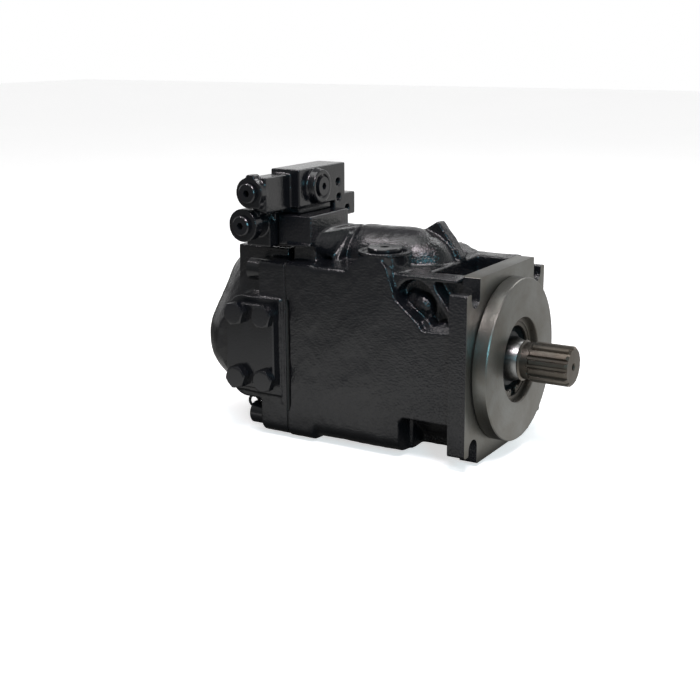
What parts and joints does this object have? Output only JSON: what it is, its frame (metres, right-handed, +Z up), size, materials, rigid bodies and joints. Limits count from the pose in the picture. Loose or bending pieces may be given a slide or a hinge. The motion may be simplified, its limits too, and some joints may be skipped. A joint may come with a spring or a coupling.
{
  "type": "axial piston pump",
  "caption": "Variable-displacement axial piston pump with a square mounting flange, splined drive shaft, side ports and a pressure-compensating control valve on top.",
  "frame": {"origin": "on the drive axis, in the plane of the flange's mounting face at the base of the pilot", "axes": "+X out along the drive shaft, +Z up through the control valve, -Y the side with the covered outlet port"},
  "size_m": [0.3233, 0.1704, 0.2164],
  "materials": {
    "painted_casting": "gloss paint over cast iron",
    "painted_valve": "gloss paint over cast iron",
    "painted_fasteners": "satin paint over steel",
    "gasket": "compressed fibre",
    "rubber": "matte",
    "seal_rubber": "matte",
    "shaft_steel": "machined, lightly oiled",
    "machined_steel": "ground",
    "bronze": "machined bronze",
    "bearing_steel": "polished",
    "spring_steel": "drawn wire"
  },
  "bodies": {
    "pump_body": {"housing": "painted_casting", "end_cap": "painted_casting", "joint_gasket": "gasket", "end_cap_screws": "painted_fasteners", "port_cover": "painted_fasteners", "port_cover_seal": "rubber", "port_cover_bolts": "painted_fasteners", "drain_plug": "painted_fasteners", "drain_plug_seal": "rubber", "lower_plug": "painted_fasteners", "tether_ring": "painted_fasteners", "control_body": "painted_valve", "control_screws": "painted_fasteners", "control_port_plug": "painted_fasteners", "orifice_plugs": "painted_fasteners", "pc_adjuster": "painted_fasteners", "ls_adjuster": "painted_fasteners", "pc_spring": "spring_steel", "ls_spring": "spring_steel", "valve_plate": "machined_steel", "front_bearing_outer": "bearing_steel", "rear_bearing_outer": "bearing_steel", "shaft_seal": "seal_rubber", "seal_ring": "bearing_steel", "cradle_bearings": "bronze", "bias_spring": "spring_steel", "servo_plug": "machined_steel"},
    "rotating_group": {"drive_shaft": "shaft_steel", "cylinder_block": "machined_steel", "ball_guide": "machined_steel", "block_spring": "spring_steel", "front_bearing_inner": "bearing_steel", "rear_bearing_inner": "bearing_steel"},
    "swash": {"swash_plate": "machined_steel"},
    "retainer": {"retainer_plate": "machined_steel"},
    "servo": {"servo_piston": "machined_steel"},
    "pc_spool_body": {"pc_spool": "machined_steel"},
    "ls_spool_body": {"ls_spool": "machined_steel"},
    "slipper_1": {"slipper_1": "bronze"},
    "piston_1": {"piston_1": "machined_steel"},
    "slipper_2": {"slipper_2": "bronze"},
    "piston_2": {"piston_2": "machined_steel"},
    "slipper_3": {"slipper_3": "bronze"},
    "piston_3": {"piston_3": "machined_steel"},
    "slipper_4": {"slipper_4": "bronze"},
    "piston_4": {"piston_4": "machined_steel"},
    "slipper_5": {"slipper_5": "bronze"},
    "piston_5": {"piston_5": "machined_steel"},
    "slipper_6": {"slipper_6": "bronze"},
    "piston_6": {"piston_6": "machined_steel"},
    "slipper_7": {"slipper_7": "bronze"},
    "piston_7": {"piston_7": "machined_steel"},
    "slipper_8": {"slipper_8": "bronze"},
    "piston_8": {"piston_8": "machined_steel"},
    "slipper_9": {"slipper_9": "bronze"},
    "piston_9": {"piston_9": "machined_steel"}
  },
  "joints": [
    {"name": "shaft_spin", "type": "hinge", "parent": "pump_body", "child": "rotating_group", "pos_m": [0, 0, 0], "axis": [1, 0, 0], "continuous": true},
    {"name": "swash_tilt", "type": "hinge", "parent": "pump_body", "child": "swash", "pos_m": [-0.078, 0, 0], "axis": [0, 1, 0], "range_deg": [0, 17], "deforming": ["bias_spring"]},
    {"name": "retainer_spin", "type": "hinge", "parent": "swash", "child": "retainer", "pos_m": [-0.078, 0, 0], "axis": [0.9563, 0, 0.2924], "continuous": true},
    {"name": "servo_slide", "type": "slide", "parent": "pump_body", "child": "servo", "axis": [1, 0, 0], "range_m": [0, 0.024]},
    {"name": "pc_spool_slide", "type": "slide", "parent": "pump_body", "child": "pc_spool_body", "axis": [0, 1, 0], "range_m": [0, 0.0025], "deforming": ["pc_spring"]},
    {"name": "ls_spool_slide", "type": "slide", "parent": "pump_body", "child": "ls_spool_body", "axis": [0, 1, 0], "range_m": [0, 0.0025], "deforming": ["ls_spring"]},
    {"name": "slipper_1_turn", "type": "hinge", "parent": "retainer", "child": "slipper_1", "pos_m": [-0.078, 0.03885, 0], "axis": [0.9563, 0, 0.2924], "continuous": true},
    {"name": "piston_1_ball", "type": "hinge", "parent": "slipper_1", "child": "piston_1", "pos_m": [-0.078, 0.03885, 0], "axis": [0, 1, 0], "range_deg": [-17.5, 0.5]},
    {"name": "slipper_2_turn", "type": "hinge", "parent": "retainer", "child": "slipper_2", "pos_m": [-0.0853, 0.02976, 0.02388], "axis": [0.9563, 0, 0.2924], "continuous": true},
    {"name": "piston_2_ball", "type": "hinge", "parent": "slipper_2", "child": "piston_2", "pos_m": [-0.0853, 0.02976, 0.02388], "axis": [0, 1, 0], "range_deg": [-17.5, 0.5]},
    {"name": "slipper_3_turn", "type": "hinge", "parent": "retainer", "child": "slipper_3", "pos_m": [-0.08919, 0.00675, 0.03659], "axis": [0.9563, 0, 0.2924], "continuous": true},
    {"name": "piston_3_ball", "type": "hinge", "parent": "slipper_3", "child": "piston_3", "pos_m": [-0.08919, 0.00675, 0.03659], "axis": [0, 1, 0], "range_deg": [-17.5, 0.5]},
    {"name": "slipper_4_turn", "type": "hinge", "parent": "retainer", "child": "slipper_4", "pos_m": [-0.08784, -0.01943, 0.03217], "axis": [0.9563, 0, 0.2924], "continuous": true},
    {"name": "piston_4_ball", "type": "hinge", "parent": "slipper_4", "child": "piston_4", "pos_m": [-0.08784, -0.01943, 0.03217], "axis": [0, 1, 0], "range_deg": [-17.5, 0.5]},
    {"name": "slipper_5_turn", "type": "hinge", "parent": "retainer", "child": "slipper_5", "pos_m": [-0.08188, -0.03651, 0.01271], "axis": [0.9563, 0, 0.2924], "continuous": true},
    {"name": "piston_5_ball", "type": "hinge", "parent": "slipper_5", "child": "piston_5", "pos_m": [-0.08188, -0.03651, 0.01271], "axis": [0, 1, 0], "range_deg": [-17.5, 0.5]},
    {"name": "slipper_6_turn", "type": "hinge", "parent": "retainer", "child": "slipper_6", "pos_m": [-0.07412, -0.03651, -0.01271], "axis": [0.9563, 0, 0.2924], "continuous": true},
    {"name": "piston_6_ball", "type": "hinge", "parent": "slipper_6", "child": "piston_6", "pos_m": [-0.07412, -0.03651, -0.01271], "axis": [0, 1, 0], "range_deg": [-17.5, 0.5]},
    {"name": "slipper_7_turn", "type": "hinge", "parent": "retainer", "child": "slipper_7", "pos_m": [-0.06816, -0.01943, -0.03217], "axis": [0.9563, 0, 0.2924], "continuous": true},
    {"name": "piston_7_ball", "type": "hinge", "parent": "slipper_7", "child": "piston_7", "pos_m": [-0.06816, -0.01943, -0.03217], "axis": [0, 1, 0], "range_deg": [-17.5, 0.5]},
    {"name": "slipper_8_turn", "type": "hinge", "parent": "retainer", "child": "slipper_8", "pos_m": [-0.06681, 0.00675, -0.03659], "axis": [0.9563, 0, 0.2924], "continuous": true},
    {"name": "piston_8_ball", "type": "hinge", "parent": "slipper_8", "child": "piston_8", "pos_m": [-0.06681, 0.00675, -0.03659], "axis": [0, 1, 0], "range_deg": [-17.5, 0.5]},
    {"name": "slipper_9_turn", "type": "hinge", "parent": "retainer", "child": "slipper_9", "pos_m": [-0.0707, 0.02976, -0.02388], "axis": [0.9563, 0, 0.2924], "continuous": true},
    {"name": "piston_9_ball", "type": "hinge", "parent": "slipper_9", "child": "piston_9", "pos_m": [-0.0707, 0.02976, -0.02388], "axis": [0, 1, 0], "range_deg": [-17.5, 0.5]}
  ],
  "couplings": [
    {"joint": "retainer_spin", "follows": "shaft_spin", "ratio": 1},
    {"joint": "servo_slide", "follows": "swash_tilt", "m_per_rad": 0.075966},
    {"joint": "slipper_1_turn", "follows": "shaft_spin", "ratio": -1},
    {"joint": "piston_1_ball", "follows": "swash_tilt", "ratio": -1},
    {"joint": "slipper_2_turn", "follows": "shaft_spin", "ratio": -1},
    {"joint": "piston_2_ball", "follows": "swash_tilt", "ratio": -1},
    {"joint": "slipper_3_turn", "follows": "shaft_spin", "ratio": -1},
    {"joint": "piston_3_ball", "follows": "swash_tilt", "ratio": -1},
    {"joint": "slipper_4_turn", "follows": "shaft_spin", "ratio": -1},
    {"joint": "piston_4_ball", "follows": "swash_tilt", "ratio": -1},
    {"joint": "slipper_5_turn", "follows": "shaft_spin", "ratio": -1},
    {"joint": "piston_5_ball", "follows": "swash_tilt", "ratio": -1},
    {"joint": "slipper_6_turn", "follows": "shaft_spin", "ratio": -1},
    {"joint": "piston_6_ball", "follows": "swash_tilt", "ratio": -1},
    {"joint": "slipper_7_turn", "follows": "shaft_spin", "ratio": -1},
    {"joint": "piston_7_ball", "follows": "swash_tilt", "ratio": -1},
    {"joint": "slipper_8_turn", "follows": "shaft_spin", "ratio": -1},
    {"joint": "piston_8_ball", "follows": "swash_tilt", "ratio": -1},
    {"joint": "slipper_9_turn", "follows": "shaft_spin", "ratio": -1},
    {"joint": "piston_9_ball", "follows": "swash_tilt", "ratio": -1}
  ]
}
